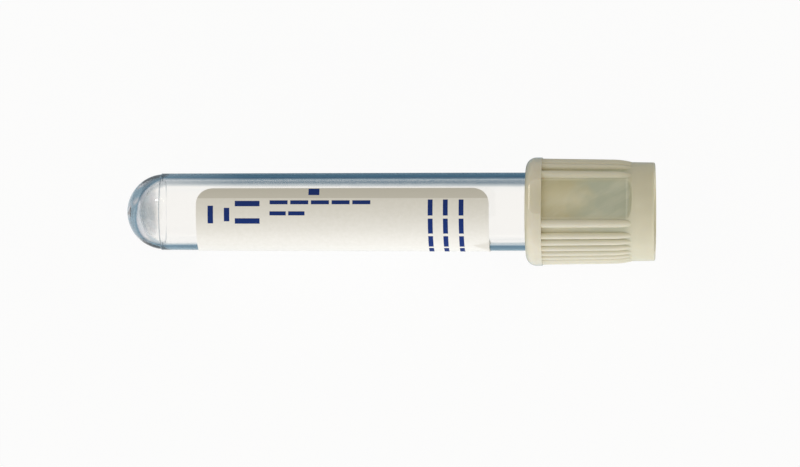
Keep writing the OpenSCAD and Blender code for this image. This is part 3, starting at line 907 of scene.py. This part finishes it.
# %% Rubber shining through, and painted sheen streaks
SHEEN_SLANT, SHEEN_STRETCH = 29, 3.5  # degrees, and how much longer than wide a mark is
thin = add(tree, "ShaderNodeMapRange", {}, out_mm, 7.7, 8.3, 1.0, 0.0)
wander = add(tree, "ShaderNodeTexNoise", Vector=spot, Scale=scale_of(3.5), Detail=2.0)
wander = add(tree, "ShaderNodeMath", {"operation": "MULTIPLY_ADD"}, wander, 9.0, along)
starts = add(tree, "ShaderNodeMapRange", {}, wander, 78.2, 83.2)
ends = add(tree, "ShaderNodeMapRange", {}, along, 83.0, 84.8, 1.0, 0.0)
over_rubber = add(tree, "ShaderNodeMath", {"operation": "MULTIPLY"}, starts, ends)
shows = add(tree, "ShaderNodeMath", {"operation": "MULTIPLY"}, over_rubber, thin)
body = add(tree, "ShaderNodeMix", {"data_type": "RGBA"}, shows, ivory_with_groove_shade, linear("#BEC2AE"))

slanting = add(tree, "ShaderNodeMapping", {"vector_type": "TEXTURE"}, Vector=spot,
               Rotation=(0.0, 0.0, math.radians(SHEEN_SLANT)), Scale=(SHEEN_STRETCH, 1.0, 1.0))
# Painted highlight: pale slanting streaks of sheen over the thin flats.
painted_sheen = add(tree, "ShaderNodeTexNoise", Vector=slanting, Scale=scale_of(1.5), Detail=3.0)
painted_sheen = add(tree, "ShaderNodeMapRange", {}, painted_sheen, 0.48, 0.68, 0.0, 0.28)
painted_sheen = add(tree, "ShaderNodeMath", {"operation": "MULTIPLY"}, painted_sheen, thin)
body = add(tree, "ShaderNodeMix", {"data_type": "RGBA"}, painted_sheen, body, linear("#E6E2D0"))
body = add(tree, "ShaderNodeMix", {"data_type": "RGBA", "blend_type": "MULTIPLY"},
           1.0, body, painted_light_by_end)
# The slant printed is that of the painted sheen streaks.
print("flow marks slant degrees:", SHEEN_SLANT)

# %% [markdown]
# ## Surface of the shield
#
# Spark erosion leaves a grain of a few hundredths of a millimetre. It is drawn at 0.08 mm,
# and still shows only from close by. A soft plastic scatters a little light under its skin,
# more red than blue, which Subsurface gives. The collar is smoother than the grip, as moulds
# are polished there to let go of the part, so it has a coat that mirrors the small lamp.

# %% Shield material
drift = add(tree, "ShaderNodeTexNoise", Vector=spot, Scale=scale_of(4.0), Detail=2.0)
# The drift lifts the colour back after the painted light by the end, which takes 0.79 of it.
drift = add(tree, "ShaderNodeMapRange", {}, drift, 0.3, 0.7, 1.22, 1.28)  # painted_light_by_end takes 0.79
body = add(tree, "ShaderNodeVectorMath", {"operation": "SCALE"}, body, drift)
eroded = add(tree, "ShaderNodeTexNoise", Vector=spot, Scale=scale_of(0.08), Detail=2.0)
texture = add(tree, "ShaderNodeBump", Height=eroded, Strength=1.0, Distance=0.006 * MM)
ripples = add(tree, "ShaderNodeTexNoise", Vector=spot, Scale=scale_of(0.5), Detail=2.0)
rippled = add(tree, "ShaderNodeBump", Height=ripples, Strength=1.0, Distance=0.012 * MM)
collar_gloss = add(tree, "ShaderNodeMapRange", {}, along, 69.2, 71.0, 0.8, 0.15)
face = add(tree, "ShaderNodeBsdfPrincipled", Base_Color=body, Roughness=0.45, IOR=1.51,
           Normal=texture, Subsurface_Weight=0.35, Subsurface_Radius=(1.0, 0.85, 0.6),
           Subsurface_Scale=0.8 * MM, Coat_Weight=collar_gloss, Coat_Roughness=0.14,
           Coat_IOR=1.5, Coat_Normal=rippled)
add(tree, "ShaderNodeOutputMaterial", Surface=face)
dress(frame["nodes"]["shield"], shell)
print("shield faces:", len(frame["nodes"]["shield"].data.polygons))

# %% [markdown]
# ## Stopper rubber
#
# The stopper is bromobutyl rubber filled with mineral powder: matt, dense and grey-olive,
# with a faint orange-peel surface, a few pale specks of filler, and a trace of silicone oil
# on it that makes its gloss uneven. It is dark enough for a plain opaque shader, so all of
# that is in its colour, roughness and bump.

# %% Stopper material
rubber, tree = new_material("bromobutyl_rubber")
spot = add(tree, "ShaderNodeTexCoord").outputs["Object"]
cloud = add(tree, "ShaderNodeTexNoise", Vector=spot, Scale=scale_of(2.0), Detail=3.0)
tone = add(tree, "ShaderNodeValToRGB", {"stops": ((0.3, "#7F7F6E"), (0.7, "#8A8A78"))}, cloud)
filler = add(tree, "ShaderNodeTexNoise", Vector=spot, Scale=scale_of(0.15), Detail=1.0)
specks = add(tree, "ShaderNodeMapRange", {}, filler, 0.68, 0.72)
speckled = add(tree, "ShaderNodeMix", {"data_type": "RGBA"}, specks, tone, linear("#A3A28F"))
oil = add(tree, "ShaderNodeTexNoise", Vector=spot, Scale=scale_of(1.6), Detail=2.0)
oily = add(tree, "ShaderNodeMapRange", {}, oil, 0.35, 0.65, 0.48, 0.66)
peel = add(tree, "ShaderNodeTexNoise", Vector=spot, Scale=scale_of(0.25), Detail=2.0)
relief = add(tree, "ShaderNodeBump", Height=peel, Strength=1.0, Distance=0.008 * MM)
face = add(tree, "ShaderNodeBsdfPrincipled", Base_Color=speckled, Roughness=oily, IOR=1.52,
           Normal=relief)
add(tree, "ShaderNodeOutputMaterial", Surface=face)
dress(frame["nodes"]["stopper"], rubber)
print("stopper faces:", len(frame["nodes"]["stopper"].data.polygons))

# %% [markdown]
# ## Finish
#
# Colours should be seen as they were written, so the view is Standard. The box of the CAD
# model and the box of all that is here now are kept side by side, and the last line prints
# how much the second has grown past the first.

# %% Finish
bpy.context.scene.view_settings.view_transform = "Standard"
low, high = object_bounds()
print("grown mm:", [round(v / MM, 3) for v in (high - low) - (cad_high - cad_low)])
